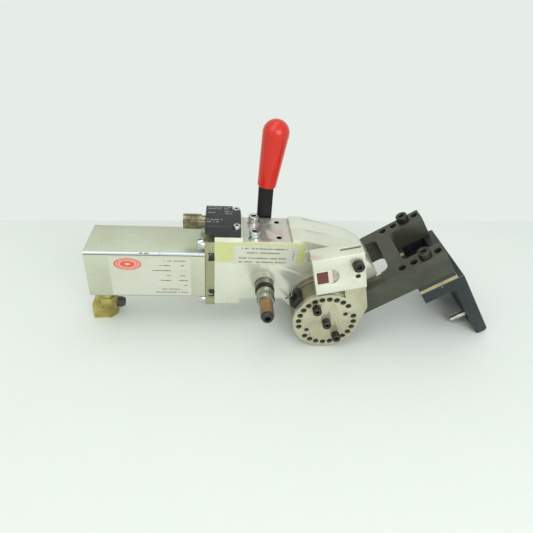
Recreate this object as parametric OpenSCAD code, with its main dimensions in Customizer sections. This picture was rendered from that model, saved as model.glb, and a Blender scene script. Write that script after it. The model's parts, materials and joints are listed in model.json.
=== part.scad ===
// Pneumatic swing unit: a square air cylinder drives a rack and pinion in the head,
// which swings a fork arm; a hand lever on a cross shaft moves the same rack.
// Millimetres, +Z up. X runs along the cylinder towards the arm. The origin lies on
// top of the mounting pad, midway between its two free threaded holes.

/* [Cylinder] */
// Width and height of the square cylinder tube
cyl_w = 42.6; // [41:0.1:44]
// Length of the cylinder tube
cyl_l = 92.3; // [88:0.1:110]
// Radius of the cylinder bore
bore_r = 16; // [14:0.1:16.5]
// Where the tube meets the flange plate, along X
tube_end_x = -58.2; // [-60:0.1:-57]

/* [Head] */
// Depth of the head across its two halves
head_d = 39.4; // [38:0.1:41]
// Thickness of the flange plate between tube and head
flange_t = 7.7; // [7:0.1:8.5]
// Height of the flange plate
flange_h = 61.5; // [60:0.1:64]
// Radius of the nose around the output shaft
nose_r = 52.6; // [51:0.1:54]
// Thickness of the walls of the head
head_wall = 4; // [3.5:0.1:4.5]
// Distance between the two free holes in the mounting pad
pad_pitch = 24.5; // [23:0.1:26]

/* [Output] */
// Output shaft axis, along X
pivot_x = 39.7; // [39:0.1:40.5]
// Output shaft axis, along Z
pivot_z = -56.9; // [-57.5:0.1:-56.5]
// Radius of the output shaft
shaft_r = 9; // [8.5:0.1:9.5]
// Teeth on the output pinion
pinion_n = 18; // [17:1:18]
// Tooth size (module) of pinion and rack
tooth_m = 1.5; // [1.4:0.05:1.5]
// Radius of the index disc and of the drum behind it
disc_r = 27; // [26:0.1:27.5]

/* [Arm] */
// Angle of the fork arm above X at rest
arm_a = 34.7; // [30:0.1:40]
// Distance from the pivot to the end of the fork arm
arm_l = 106.9; // [106:0.1:112]
// Width over both legs of the fork arm
arm_w = 68.6; // [68:0.1:70]
// Clear width between the legs
arm_gap = 44.6; // [44:0.1:45]
// Height of the legs
arm_h = 22.3; // [21:0.1:24]
// Pitch of the threaded holes in the arm
row_pitch = 10; // [9.5:0.1:10.2]

/* [Lever] */
// Lever shaft axis, along X
lever_x = -9.8; // [-11:0.1:-9]
// Lever shaft axis, along Z
lever_z = -41; // [-41.5:0.1:-40.5]
// Length of the hand grip
grip_l = 55; // [50:0.5:70]

/* [Indicator block] */
// Angle of the indicator block above X at rest
block_a = 13.3; // [10:0.1:15]
// Length of the indicator block
block_l = 38.5; // [38:0.1:40]
// Height of the indicator block
block_h = 31.4; // [31:0.1:33]

/* [Hidden] */
$fn = 64;
EPS = 0.01;         // overcut that keeps shared faces out of a cut
FIT = 0.05;         // radial clearance of a screw or pin in its hole
RUN = 0.04;         // radial clearance of a turning or sliding fit

// Frame of the housing
tube_x = tube_end_x - cyl_l;
bore_z = -32.2;
rod_r = 6;
head_x = tube_end_x + flange_t;
half_d = head_d / 2;
pad_left = -28.7;
pad_right = 10;
pad_t = 8;
block_top = 2;
ledge_top = 3.6;
floor_low = -61.1;
floor_high = -55.4;
floor_step_x = -29.7;
boss_r = 23;
nose_end_x = 83.1;
top_slope = 13.5;
chin_a = -50;

// Screw sizes: shank radius, head radius, head height, socket radius
M3 = [1.5, 2.75, 3, 1.3];
M4 = [2, 3.5, 4, 1.6];
M5 = [2.5, 4.25, 5, 2.2];
M6 = [3, 5, 6, 2.6];

// Rack, pinion and cavity
pitch_r = tooth_m * pinion_n / 2;
rack_z = pivot_z + pitch_r;
bar_top = bore_z + rod_r;
bar_bot = lever_z + 5.8;
cav_top = -14;
cav_bot = -47.5;
cav_y = half_d - head_wall;

// Output side, in depth (Y): front is negative
cover_y = -25.7;
drum_back = -27.2;
drum_mid = -34.4;
disc_back = -42.7;
disc_t = 4;
disc_front = disc_back - disc_t;

// Fork arm, in its own frame: s along the arm, n up from the pivot
arm_top = 0.4;
arm_bot = arm_top - arm_h;
row_s = 72.2;
row_y = 28.6;
bridge_s = 63;
pocket_s = 75.8;
pocket_w = 41;
screw_i = 2;        // which hole of each row carries a screw
spacer_t = 4.6;
shim_t = 1.7;
shim_n = 2;
well_w = 44;
well_s = [79.6, 101];
undercut = [1.4, 1.7];
bracket_top = arm_bot - spacer_t - shim_n * shim_t;
bracket_t = 10;
bracket_leg_t = 11.4;
bracket_s = 75.7;
bracket_end = arm_l + 5.5;
bracket_low = -101;
bracket_w = 72;

// Lever
finger_r = 22;
bar_y = [21, 26];
grip_z = 27.5;
grip_tilt = 5.6;

// Indicator block, in its own frame: u along the block, v up from the pivot
block_u = -5;
block_v = 31.8;
block_y = [-50.7, -34.7];
window_v = 46.8;
window_r = 6.8;
window_u = 6.9;
window_depth = 4;

// ---- helpers -----------------------------------------------------------------

// Extrudes an outline drawn in X and Z from depth y0 to depth y1
module slab(y0, y1) {
    translate([0, y1, 0]) rotate([90, 0, 0]) linear_extrude(y1 - y0) children();
}

// A round bar along Y at the current place
module rod_y(r, y0, y1) {
    slab(y0, y1) circle(r);
}

// A round bar along X from x0 to x1
module rod_x(r, x0, x1) {
    translate([x0, 0, 0]) rotate([0, 90, 0]) cylinder(r = r, h = x1 - x0);
}

// A box from one corner to the other
module box(a, b) {
    translate(a) cube(b - a);
}

// The pivot frame turned to the fork arm or to the indicator block
module arm_frame() {
    translate([pivot_x, 0, pivot_z]) rotate([0, -arm_a, 0]) children();
}
module block_frame() {
    translate([pivot_x, 0, pivot_z]) rotate([0, -block_a, 0]) children();
}

// A socket head screw whose head stands on z = 0 and whose shank goes down
module cap_screw(m, len) {
    difference() {
        union() {
            translate([0, 0, -len]) cylinder(r = m[0], h = len + EPS);
            cylinder(r = m[1], h = m[2]);
        }
        translate([0, 0, m[2] * 0.45]) cylinder(r = m[3], h = m[2], $fn = 6);
    }
}

// One involute tooth space flank point at roll angle a for base radius rb
function involute(rb, a) = [rb * (cos(a) + a * PI / 180 * sin(a)),
                            rb * (sin(a) - a * PI / 180 * cos(a))];

// Spur gear outline: one tooth pointing straight up, backlash taken from the teeth
module gear_2d(m, n, backlash) {
    rp = m * n / 2;
    rb = rp * cos(20);
    ra = rp + m;
    rf = rp - 1.2 * m;
    roll_p = sqrt(rp * rp / rb / rb - 1) * 180 / PI;
    roll_a = sqrt(ra * ra / rb / rb - 1) * 180 / PI;
    inv_p = roll_p - 20;
    half_p = 90 / n - backlash / 2 / rp * 180 / PI;
    flank = [for (i = [0:5]) involute(rb, roll_a * i / 5)];
    side = [for (p = flank) [norm(p), atan2(p[1], p[0]) - inv_p - half_p]];
    tooth = concat([[rf, side[0][1]]], side,
        [for (i = [5:-1:0]) [side[i][0], -side[i][1]]], [[rf, -side[0][1]]]);
    difference() {
        union() {
            circle(rf);
            for (k = [0:n - 1])
                rotate(k * 360 / n + 90)
                    polygon([for (q = concat([[rf * 0.8, tooth[0][1]]], tooth,
                        [[rf * 0.8, -tooth[0][1]]])) [q[0] * cos(q[1]), q[0] * sin(q[1])]]);
        }
    }
}

// ---- housing -----------------------------------------------------------------

module cylinder_tube() {
    color("gainsboro") difference() {
        box([tube_x, -cyl_w / 2, bore_z - cyl_w / 2], [tube_end_x, cyl_w / 2, bore_z + cyl_w / 2]);
        translate([0, 0, bore_z]) rod_x(bore_r, tube_x - 1, tube_end_x + 1);
        translate([0, 0, bore_z]) rod_x(bore_r + 0.8, tube_x + 1.2, tube_x + 2.6);
        translate([elbow_x, 0, bore_z - cyl_w / 2 - 1]) cylinder(r = port_r, h = 10);
        tube_screw_places() rod_x(M4[0] + FIT, tube_end_x - 16, tube_end_x + 1);
    }
}

elbow_x = tube_x + 7;
port_r = 4.9;

// Screws that hold the tube to the flange plate, one at each corner of the tube
module tube_screw_places() {
    for (y = [-1, 1], z = [-1, 1])
        translate([0, y * cyl_w * 0.39, bore_z + z * cyl_w * 0.39]) children();
}

module rear_plug() {
    plug_x0 = tube_x + 2.6 + EPS;
    plug_x1 = tube_x + 15;
    color("silver") translate([0, 0, bore_z]) difference() {
        rod_x(bore_r - RUN, plug_x0, plug_x1);
        difference() {
            rod_x(bore_r + 1, elbow_x - 3.5, elbow_x + 3.5);
            rod_x(bore_r - 4, elbow_x - 4, elbow_x + 4);
        }
        difference() {
            rod_x(bore_r + 1, plug_x1 - 3.2, plug_x1 - 1);
            rod_x(bore_r - 2, plug_x1 - 4, plug_x1);
        }
        translate([0, 0, -(bore_r - 6)]) rod_x(3, elbow_x, plug_x1 + 1);
        translate([elbow_x, 0, -bore_r]) cylinder(r = 3, h = 8);
    }
}

module rear_plug_seal() {
    x1 = tube_x + 15 - 1.1;
    color("black") translate([0, 0, bore_z]) difference() {
        rod_x(bore_r - 0.02, x1 - 2, x1);
        rod_x(bore_r - 1.95, x1 - 3, x1 + 1);
    }
}

module rear_ring() {
    color("dimgray") translate([0, 0, bore_z]) difference() {
        rod_x(bore_r + 0.75, tube_x + 1.25, tube_x + 2.55);
        rod_x(bore_r - 2.5, tube_x, tube_x + 4);
        rotate([-90, 0, 0]) box([tube_x, -2, 0], [tube_x + 4, 2, 20]);
    }
}

// Screws through the flange plate into the head, heads towards the cylinder
module flange_screw_places() {
    for (y = [-1, 1], z = [-5, -58.6])
        translate([0, y * 15.5, z]) children();
}

module flange_plate() {
    mid = bore_z + 0.35;
    color("tan") difference() {
        box([tube_end_x, -half_d, mid - flange_h / 2], [head_x, half_d, mid + flange_h / 2]);
        translate([0, 0, bore_z]) rod_x(9, tube_end_x - 1, head_x + 1);
        flange_screw_places() rod_x(M5[0] + FIT, tube_end_x - 1, head_x + 1);
        tube_screw_places() {
            rod_x(M4[0] + FIT, tube_end_x - 1, head_x + 1);
            rod_x(M4[1] + FIT, head_x - M4[2] - 0.3, head_x + 1);
        }
        for (z = [-14.5, -50])
            box([tube_end_x + 3, -half_d - 1, z - 2.6], [head_x - 1, -half_d + 0.6, z + 2.6]);
    }
}

module flange_screws() {
    color("silver") flange_screw_places()
        translate([tube_end_x, 0, 0]) rotate([0, -90, 0]) cap_screw(M5, flange_t + 8.5);
}

module tube_screws() {
    color("dimgray") tube_screw_places()
        translate([head_x - M4[2] - 0.3, 0, 0]) rotate([0, 90, 0]) cap_screw(M4, 18);
}

module rod_bush() {
    color("peru") translate([0, 0, bore_z]) difference() {
        rod_x(9 - EPS, tube_end_x + 2.6, head_x);
        rod_x(rod_r + RUN, tube_end_x, head_x + 1);
    }
}

module rod_seal() {
    color("black") translate([0, 0, bore_z]) difference() {
        rod_x(9 - EPS, tube_end_x + 0.2, tube_end_x + 2.5);
        rod_x(rod_r + RUN, tube_end_x - 1, tube_end_x + 4);
    }
}

// Outline of the head, seen from the front
module head_2d() {
    p = [pivot_x, pivot_z];
    low = p + boss_r * [cos(225), sin(225)];
    chin = p + boss_r * [cos(chin_a), sin(chin_a)];
    crown = p + nose_r * [sin(top_slope), cos(top_slope)];
    jaw_z = chin[1] + (nose_end_x - chin[0]) / tan(-chin_a);
    slope_x = pad_right + 11.5;
    polygon([[head_x, floor_low], [floor_step_x, floor_low], [floor_step_x, floor_high],
        [low[0] + low[1] - floor_high, floor_high], low, p, crown,
        [slope_x, crown[1] + (crown[0] - slope_x) * tan(top_slope)],
        [slope_x, block_top], [pad_right, block_top], [pad_right, -pad_t],
        [pad_left, -pad_t], [pad_left, ledge_top], [head_x, ledge_top]]);
    intersection() {
        translate(p) circle(nose_r, $fn = 180);
        polygon([low + [8, 8], chin, [nose_end_x, jaw_z], [nose_end_x, 0], [crown[0], 0],
            crown - [20, 4]]);
    }
    translate(p) circle(boss_r);
}

// Space inside the head for the lever finger, the rack and the pinion
module cavity_2d() {
    polygon([[head_x + head_wall, cav_bot], [18, cav_bot], [18, cav_top],
        [head_x + head_wall, cav_top]]);
    polygon([[0, rack_z - 2.3], [79, rack_z - 2.3], [79, bar_top + 1], [0, bar_top + 1]]);
    translate([pivot_x, pivot_z]) circle(pitch_r + tooth_m + 1);
}

// Screws that clamp the two halves together
head_screw_xz = [[-36, -54.5], [4, -51.6], [16, -4.2], [-38.6, -4.8], [60, -17], [70, -52]];
module head_screw_places() {
    for (q = head_screw_xz) translate([q[0], 0, q[1]]) children();
}

module head_half(side) {
    y0 = side < 0 ? -half_d : 0;
    difference() {
        slab(y0, y0 + half_d) head_2d();
        slab(side < 0 ? -cav_y : -1, side < 0 ? 1 : cav_y) cavity_2d();
        translate([0, 0, bore_z]) rod_x(rod_r + 0.5, head_x - 1, head_x + head_wall + 1);
        translate([lever_x, 0, lever_z]) rod_y(8, -30, 30);
        translate([pivot_x, 0, pivot_z]) rod_y(12, -30, 30);
        head_screw_places() {
            rod_y(M4[0] + FIT, -14, 30);
            rod_y(M4[1] + FIT, half_d - M4[2] - 0.2, 30);
        }
        flange_screw_places() rod_x(M5[0] + FIT, head_x - 1, head_x + 8.6);
        for (x = [pad_screw_x, 0], y = [-1, 1])
            translate([x, y * pad_pitch / 2, -pad_t - 4]) cylinder(r = pad_hole_r, h = 5);
        sensor_screw_places() translate([0, 0, -7]) cylinder(r = M3[0] + FIT, h = 20);
        if (side < 0) {
            translate([10.2, -half_d, -55]) rotate([90, 0, 0])
                translate([0, 0, -3]) cylinder(r = 1.2, h = 4);
            cover_screw_places() rod_y(M3[0] + FIT, -half_d - 1, -half_d + 3.5);
        }
    }
}
module head_front_half() {
    color("gainsboro") head_half(-1);
}
module head_back_half() {
    color("gainsboro") head_half(1);
}

module head_screws() {
    color("dimgray") head_screw_places()
        translate([0, half_d - M4[2] - 0.2, 0]) rotate([-90, 0, 0])
            cap_screw(M4, half_d + 9);
}

pad_screw_x = -19.5;
pad_hole_r = 2.1;

module mount_pad() {
    color("lightgray") difference() {
        box([pad_left, -half_d, -pad_t], [pad_right, half_d, 0]);
        for (x = [pad_screw_x, 0], y = [-1, 1])
            translate([x, y * pad_pitch / 2, -pad_t - 1]) cylinder(r = pad_hole_r, h = pad_t + 2);
        translate([-11.9, 7, -2]) cylinder(r = 0.8, h = 3);
    }
}

module pad_screws() {
    color("silver") for (y = [-1, 1])
        translate([pad_screw_x, y * pad_pitch / 2, 1]) cap_screw([pad_hole_r - FIT, M5[1], M5[2], M5[3]], 12);
}

module pad_washers() {
    color("gainsboro") for (y = [-1, 1])
        translate([pad_screw_x, y * pad_pitch / 2, 0]) difference() {
            cylinder(r = 5.2, h = 1);
            translate([0, 0, -1]) cylinder(r = pad_hole_r + FIT, h = 3);
        }
}

// Proximity sensor on the ledge behind the flange plate
sensor_x = [-57.9, -30.4];
sensor_y = [-19.7, 13.7];
sensor_z = [ledge_top, 13.2];
sensor_step = 6.4;
notch = 6.4;
module sensor_screw_places() {
    for (y = [sensor_y[0] + 3.3, sensor_y[1] - 3.3])
        translate([sensor_x[1] - 3.3, y, ledge_top]) children();
}

module sensor_body() {
    color("darkslategray") difference() {
        box([sensor_x[0], sensor_y[0], sensor_z[0]], [sensor_x[1], sensor_y[1], sensor_z[1]]);
        for (y = [[sensor_y[0] - 1, sensor_y[0] + notch], [sensor_y[1] - notch, sensor_y[1] + 1]])
            box([sensor_x[1] - notch, y[0], sensor_z[0] + sensor_step],
                [sensor_x[1] + 1, y[1], sensor_z[1] + 1]);
        box([sensor_x[0] - 1, sensor_y[0] - 1, sensor_z[0] - 1],
            [head_x + 0.4, sensor_y[1] + 1, sensor_z[0] + 2]);
        sensor_screw_places() translate([0, 0, -1]) cylinder(r = M3[0] + FIT, h = 20);
        translate([0, sensor_plug_y, sensor_plug_z]) rod_x(4, sensor_x[0] - 1, sensor_x[0] + 6);
    }
}

sensor_plug_y = -5;
sensor_plug_z = 8.9;
module sensor_connector() {
    color("darkkhaki") translate([0, sensor_plug_y, sensor_plug_z]) difference() {
        union() {
            rod_x(5.9, sensor_x[0] - 17, sensor_x[0] - 3);
            rod_x(4.9, sensor_x[0] - 3 - EPS, sensor_x[0]);
            rod_x(4 - EPS, sensor_x[0] - EPS, sensor_x[0] + 5);
        }
        rod_x(4.4, sensor_x[0] - 18, sensor_x[0] - 14.5);
    }
}

module sensor_screws() {
    color("khaki") sensor_screw_places() translate([0, 0, sensor_step]) cap_screw(M3, 10);
}

// Brass elbow in the supply port under the rear of the tube
elbow_low = -89.9;
elbow_top = -75;
tube_low = bore_z - cyl_w / 2;
module elbow_fitting() {
    color("darkgoldenrod") difference() {
        union() {
            translate([elbow_x, 0, elbow_top]) cylinder(r = 8.4, h = 7, $fn = 6);
            translate([elbow_x, 0, elbow_top]) cylinder(r = port_r - FIT, h = tube_low + 4.2 - elbow_top);
            translate([elbow_x, 0, elbow_top + 7]) cylinder(r = 6.2, h = tube_low - elbow_top - 7);
            translate([tube_x, 0, elbow_low]) linear_extrude(elbow_top - elbow_low)
                polygon([[-5.3, -6.2], [9.3, -6.2], [elbow_r, -1.5], [elbow_r, 9.2], [-5.3, 9.2]]);
        }
        translate([elbow_x, 0, -82.4]) cylinder(r = 2.6, h = 60);
        translate([0, elbow_out_y, elbow_out_z]) rod_x(3.8, elbow_x - 3, elbow_x + 20);
        translate([0, 0, elbow_out_z]) box([elbow_x - 1, 0, -2], [elbow_x + 1, elbow_out_y, 2]);
    }
}

elbow_r = 14;
elbow_out_y = 4.4;
elbow_out_z = -80;
module elbow_collet() {
    color("dimgray") translate([0, elbow_out_y, elbow_out_z]) difference() {
        union() {
            rod_x(3.75, tube_x + 9, tube_x + elbow_r + 0.1);
            rod_x(4.7, tube_x + elbow_r + EPS, tube_x + 18);
            rod_x(4, tube_x + 18 - EPS, tube_x + 20);
        }
        rod_x(3.02, tube_x + 8, tube_x + 21);
    }
}

label_t = 0.25;
module cylinder_label() {
    y = -cyl_w / 2;
    color("ivory") box([tube_x + 18.7, y - label_t, bore_z - 19.3], [tube_x + 81.3, y, bore_z + 17.8]);
}

module warning_strip() {
    color("khaki") box([head_x + 0.3, -half_d - 0.2, -19], [pad_right + 10.8, -half_d, -0.6]);
}

module head_label() {
    color("ivory") translate([-36, -half_d - 0.2, -11.2]) rotate([0, 0.6, 0])
        box([0, -label_t, -8.6], [50.4, 0, 8.6]);
}

module shaft_bushes() {
    color("peru") translate([pivot_x, 0, pivot_z]) for (s = [-1, 1])
        difference() {
            rod_y(12 - EPS, s > 0 ? cav_y : -half_d, s > 0 ? half_d : -cav_y);
            rod_y(shaft_r + RUN, -30, 30);
        }
}

bush_front = -26;
module lever_bushes() {
    color("peru") translate([lever_x, 0, lever_z]) for (s = [-1, 1])
        difference() {
            union() {
                rod_y(8 - EPS, s > 0 ? cav_y : -half_d, s > 0 ? half_d : -cav_y);
                if (s < 0) rod_y(7.6, bush_front, -cav_y - 1);
            }
            rod_y(5 + RUN, -30, 30);
        }
}

// Covers over the output shaft bearings, the front one thick and the back one thin
module cover_screw_places() {
    for (a = [60, 180, 300])
        translate([pivot_x + 18 * cos(a), 0, pivot_z + 18 * sin(a)]) children();
}
module bearing_covers() {
    color("rosybrown") {
        difference() {
            translate([pivot_x, 0, pivot_z]) rod_y(disc_r, cover_y, -half_d);
            translate([pivot_x, 0, pivot_z]) rod_y(shaft_r + 0.5, -50, 0);
        }
        translate([pivot_x, 0, pivot_z]) difference() {
            rod_y(20, half_d, half_d + 2.2);
            rod_y(shaft_r + 0.5, 0, 50);
        }
    }
}

// ---- hand lever ----------------------------------------------------------------

module lever_shaft() {
    color("silver") translate([lever_x, 0, lever_z]) difference() {
        rod_y(5, -41, bar_y[1]);
        rod_y(2.05, bar_y[1] - 10, bar_y[1] + 1);
        rod_y(3, -42, -33);
    }
}

module spindle_ring() {
    color("black") translate([lever_x, 0, lever_z]) difference() {
        union() {
            rod_y(7.9, -27.7, bush_front - 0.3);
            rod_y(7.5, -28.5, bush_front - 1);
            rod_y(7.8, -30, -28.3);
        }
        rod_y(5, -40, 0);
    }
}

module spindle_collar() {
    color("silver") translate([lever_x, 0, lever_z]) difference() {
        union() {
            rod_y(7.2, -40.5, -30);
            translate([0, -40.5 + EPS, 0]) rotate([90, 0, 0]) cylinder(r1 = 7.2, r2 = 6.4, h = 2);
        }
        rod_y(5, -50, 0);
    }
}

module spindle_sleeve() {
    color("sienna") translate([lever_x, 0, lever_z]) difference() {
        union() {
            rod_y(5.3, -59.3, -42.55);
            rod_y(5, -43, -41.05);
        }
        rod_y(3, -60, -40);
    }
}

module spindle_tip() {
    color("black") translate([lever_x, 0, lever_z]) difference() {
        union() {
            rod_y(4.9, -60.6, -59.3 - EPS);
            translate([0, -60.6 + EPS, 0]) rotate([90, 0, 0]) cylinder(r1 = 4.9, r2 = 3.9, h = 1.9);
            rod_y(3 - EPS, -60, -33.2);
        }
        translate([0, -58, 0]) rotate([90, 0, 0]) cylinder(r = 2.6, h = 8, $fn = 6);
    }
}

// Crank on the lever shaft; its pin runs in the slot of the rack bar
module lever_finger() {
    color("slategray") translate([lever_x, 0, lever_z]) difference() {
        union() {
            rod_y(6.1, 7, 13);
            slab(7, 12) polygon([[-4, 0], [4, 0], [4, finger_r], [-4, finger_r]]);
            translate([0, 0, finger_r]) rod_y(4, 7, 12);
            translate([0, 0, finger_r]) rod_y(2.5, 0.4, 7 + EPS);
        }
        rod_y(5, 0, 20);
    }
}

module lever_bar() {
    root_h = grip_z - lever_z;
    color("black") difference() {
        union() {
            translate([lever_x, 0, lever_z]) rod_y(9, bar_y[0] + EPS, bar_y[1] - EPS);
            translate([lever_x, 0, lever_z]) slab(bar_y[0], bar_y[1]) polygon(concat(
                [[-6, 0], [6, 0], [6, root_h - 2]],
                [for (q = [[6, 0], [6, 34], [-6, 34], [-6, 0]])
                    [0.3 + q[0] * cos(grip_tilt) + q[1] * sin(grip_tilt),
                        root_h + q[1] * cos(grip_tilt) - q[0] * sin(grip_tilt)]],
                [[-6, root_h - 2]]));
        }
        translate([lever_x, 0, lever_z]) rod_y(5, 0, 40);
    }
}

// Frame of the hand grip: its foot on the bar, leaning a little forwards
module grip_frame() {
    translate([lever_x + 0.3, (bar_y[0] + bar_y[1]) / 2, grip_z]) rotate([0, grip_tilt, 0])
        children();
}

module lever_grip() {
    ball_r = 10.4;
    foot_r = 7.7;
    ball_z = grip_l - ball_r;
    side_a = asin((ball_r - foot_r) / ball_z);
    color("tomato") grip_frame() difference() {
        rotate_extrude($fn = 72) polygon(concat(
            [[0, 0], [foot_r - 1.6, 0]],
            [for (a = [-75:15:0]) [foot_r - 1.6 + 1.6 * cos(a), 1.6 + 1.6 * sin(a)]],
            [for (a = [-side_a:(90 + side_a) / 12:90 + EPS])
                [max(0, ball_r * cos(a)), ball_z + ball_r * sin(a)]]));
        box([-6 - FIT, -2.5 - FIT, -1], [6 + FIT, 2.5 + FIT, 34 + FIT]);
    }
}

module lever_screw() {
    color("dimgray") translate([lever_x, bar_y[1], lever_z]) rotate([-90, 0, 0]) {
        cap_screw([2, 3.8, 3, 1.6], 9.5);
        difference() {
            translate([0, 0, 0.01]) cylinder(r = 7, h = 1.2);
            translate([0, 0, -1]) cylinder(r = 3.7, h = 4);
        }
    }
}

// ---- piston and rack -------------------------------------------------------------

piston_x = -118;
piston_t = 12;
bar_x = -38.3;
rack_x = [15.2, 53.6];
slot_clear = 0.9;

module piston() {
    color("silver") translate([0, 0, bore_z]) difference() {
        rod_x(bore_r - RUN, piston_x, piston_x + piston_t);
        difference() {
            rod_x(bore_r + 1, piston_x + 4, piston_x + 8);
            rod_x(bore_r - 2.6, piston_x, piston_x + piston_t);
        }
        rod_x(4, piston_x - 1, piston_x + piston_t + 1);
    }
}

module piston_seal() {
    color("black") translate([0, 0, bore_z]) difference() {
        rod_x(bore_r - 0.03, piston_x + 4.1, piston_x + 7.9);
        rod_x(bore_r - 2.55, piston_x, piston_x + piston_t);
    }
}

module piston_rod() {
    color("gainsboro") translate([0, 0, bore_z]) {
        rod_x(rod_r, piston_x + piston_t, bar_x);
        rod_x(4 - EPS, piston_x, piston_x + piston_t + EPS);
        rod_x(3, bar_x - EPS, bar_x + 10);
    }
}

// Straight bar over the lever shaft, a slotted post for the finger and the rack below
module rack_bar() {
    half_t = PI * tooth_m / 4 - 0.06;
    first = -floor((pivot_x - rack_x[0] - 3) / (PI * tooth_m));
    last = floor((rack_x[1] - pivot_x - 3) / (PI * tooth_m));
    root = rack_z + 1.25 * tooth_m;
    color("darkgray") difference() {
        union() {
            box([bar_x, -5.5, bar_bot], [rack_x[1], 5.5, bar_top]);
            box([rack_x[0], -5.5, root], [rack_x[1], 5.5, bar_top]);
            box([lever_x - 8, -5.5, bar_top - EPS], [lever_x + 8, 5.5, -15.2]);
            slab(-5.5, 5.5) for (k = [first:last])
                translate([pivot_x + (k + 0.5) * PI * tooth_m, rack_z])
                    polygon([[-half_t - 1.9 * tan(20), 1.9], [-half_t + tooth_m * tan(20), -tooth_m],
                        [half_t - tooth_m * tan(20), -tooth_m], [half_t + 1.9 * tan(20), 1.9]]);
        }
        translate([0, 0, bore_z]) rod_x(3 + EPS, bar_x - 1, bar_x + 10.2);
        box([lever_x - 2.5 - slot_clear, 0, -29.2],
            [lever_x + 2.5 + slot_clear, 6, -15]);
    }
}

// ---- output shaft, drum and disc --------------------------------------------------

module output_shaft() {
    color("silver") translate([pivot_x, 0, pivot_z]) difference() {
        rod_y(shaft_r, disc_back + 0.1, arm_w / 2);
        rod_y(M4[0] + FIT, -60, -30);
        rod_y(M5[0] + FIT, 20, 60);
    }
}

module output_pinion() {
    color("slategray") translate([pivot_x, 0, pivot_z]) difference() {
        slab(-6.5, 6.5) gear_2d(tooth_m, pinion_n, 0.12);
        rod_y(shaft_r, -20, 20);
    }
}

// Places of the three screws across the arm: the middle one is on the pivot
disc_screw_pitch = 16.9;
module disc_screw_places() {
    for (k = [-1:1])
        arm_frame() translate([0, 0, k * disc_screw_pitch]) children();
}

// The drum's raised rear part fills the sector that the arm's hub leaves free
module sector_2d(grow) {
    a0 = 63 - grow;
    a1 = 204 + grow;
    difference() {
        polygon(concat([[0, 0]], [for (a = [a0:(a1 - a0) / 6:a1 + EPS]) 60 * [cos(a), sin(a)]]));
        circle(14 - grow / 2);
    }
}

module dog_2d(grow) {
    a = 149.5;
    rotate(a) polygon([[21.5 - grow, -5.4 - grow], [31.2, -5.4 - grow], [31.2, 5.4 + grow],
        [21.5 - grow, 5.4 + grow]]);
}
dog_y = [-41.6, -28.2];

module hub_drum() {
    color("rosybrown") difference() {
        translate([pivot_x, 0, pivot_z]) {
            rod_y(disc_r, disc_back, drum_mid);
            slab(drum_mid - EPS, drum_back) intersection() {
                circle(disc_r);
                sector_2d(0);
            }
        }
        translate([pivot_x, 0, pivot_z]) {
            rod_y(shaft_r + EPS, -60, 0);
            slab(dog_y[0] - FIT, dog_y[1] + FIT) dog_2d(FIT);
            dog_screw_place() translate([0, 0, -20]) cylinder(r = M3[0] + FIT, h = 20);
        }
        for (k = [-1, 1]) arm_frame() translate([0, 0, k * disc_screw_pitch])
            rod_y(M4[0] + FIT, -60, 0);
    }
}

// Dog on the rim of the drum, with the screw that holds it
module dog_screw_place() {
    translate([0, -34.2, 0]) rotate([0, 90 - 149.5, 0]) translate([0, 0, 31.2]) children();
}

module stop_dog() {
    color("black") translate([pivot_x, 0, pivot_z]) difference() {
        slab(dog_y[0], dog_y[1]) dog_2d(0);
        dog_screw_place() translate([0, 0, -20]) cylinder(r = M3[0] + FIT, h = 22);
    }
}

module dog_screw() {
    color("dimgray") translate([pivot_x, 0, pivot_z]) dog_screw_place() cap_screw(M3, 14);
}

ring_r = 22.4;
ring_hole_r = 2.4;
module ring_place(r, a) {
    translate([pivot_x, 0, pivot_z]) rotate([0, -a, 0]) translate([r, 0, 0]) children();
}

module index_disc() {
    color("khaki") difference() {
        union() {
            translate([pivot_x, 0, pivot_z]) rod_y(disc_r, disc_front, disc_back);
            block_frame() slab(disc_front + EPS, disc_back - EPS)
                polygon([[0, 0], [17.4, 18], [17.4, 57.5], [block_u + block_l, 57.5],
                    [block_u + block_l + 0.4, 7.6], [22.4, -14.8]]);
        }
        for (k = [0:23]) if (k != 2 && k != 14)
            ring_place(ring_r, k * 15 + 0.5) rod_y(ring_hole_r, -60, 0);
        ring_place(16.6, 27.5) rod_y(2, -60, 0);
        ring_place(17.6, 212) rod_y(2, -60, 0);
        disc_screw_places() rod_y(M4[0] + FIT, -60, 0);
        block_screw_place() rod_y(M5[0] + FIT, -60, 0);
    }
}

module disc_screws() {
    color("dimgray") disc_screw_places()
        translate([0, disc_front, 0]) rotate([90, 0, 0]) cap_screw([M4[0], 3.5, 6, 1.7], 16);
}

// ---- fork arm -----------------------------------------------------------------------

// Threaded holes along both legs; the argument skips the ones that carry screws
module row_places(all) {
    for (y = [-1, 1], k = [0:3]) if (all || k != screw_i)
        arm_frame() translate([row_s + k * row_pitch, y * row_y, 0]) children();
}
module screw_places() {
    for (y = [-1, 1])
        arm_frame() translate([row_s + screw_i * row_pitch, y * row_y, 0]) children();
}

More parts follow.
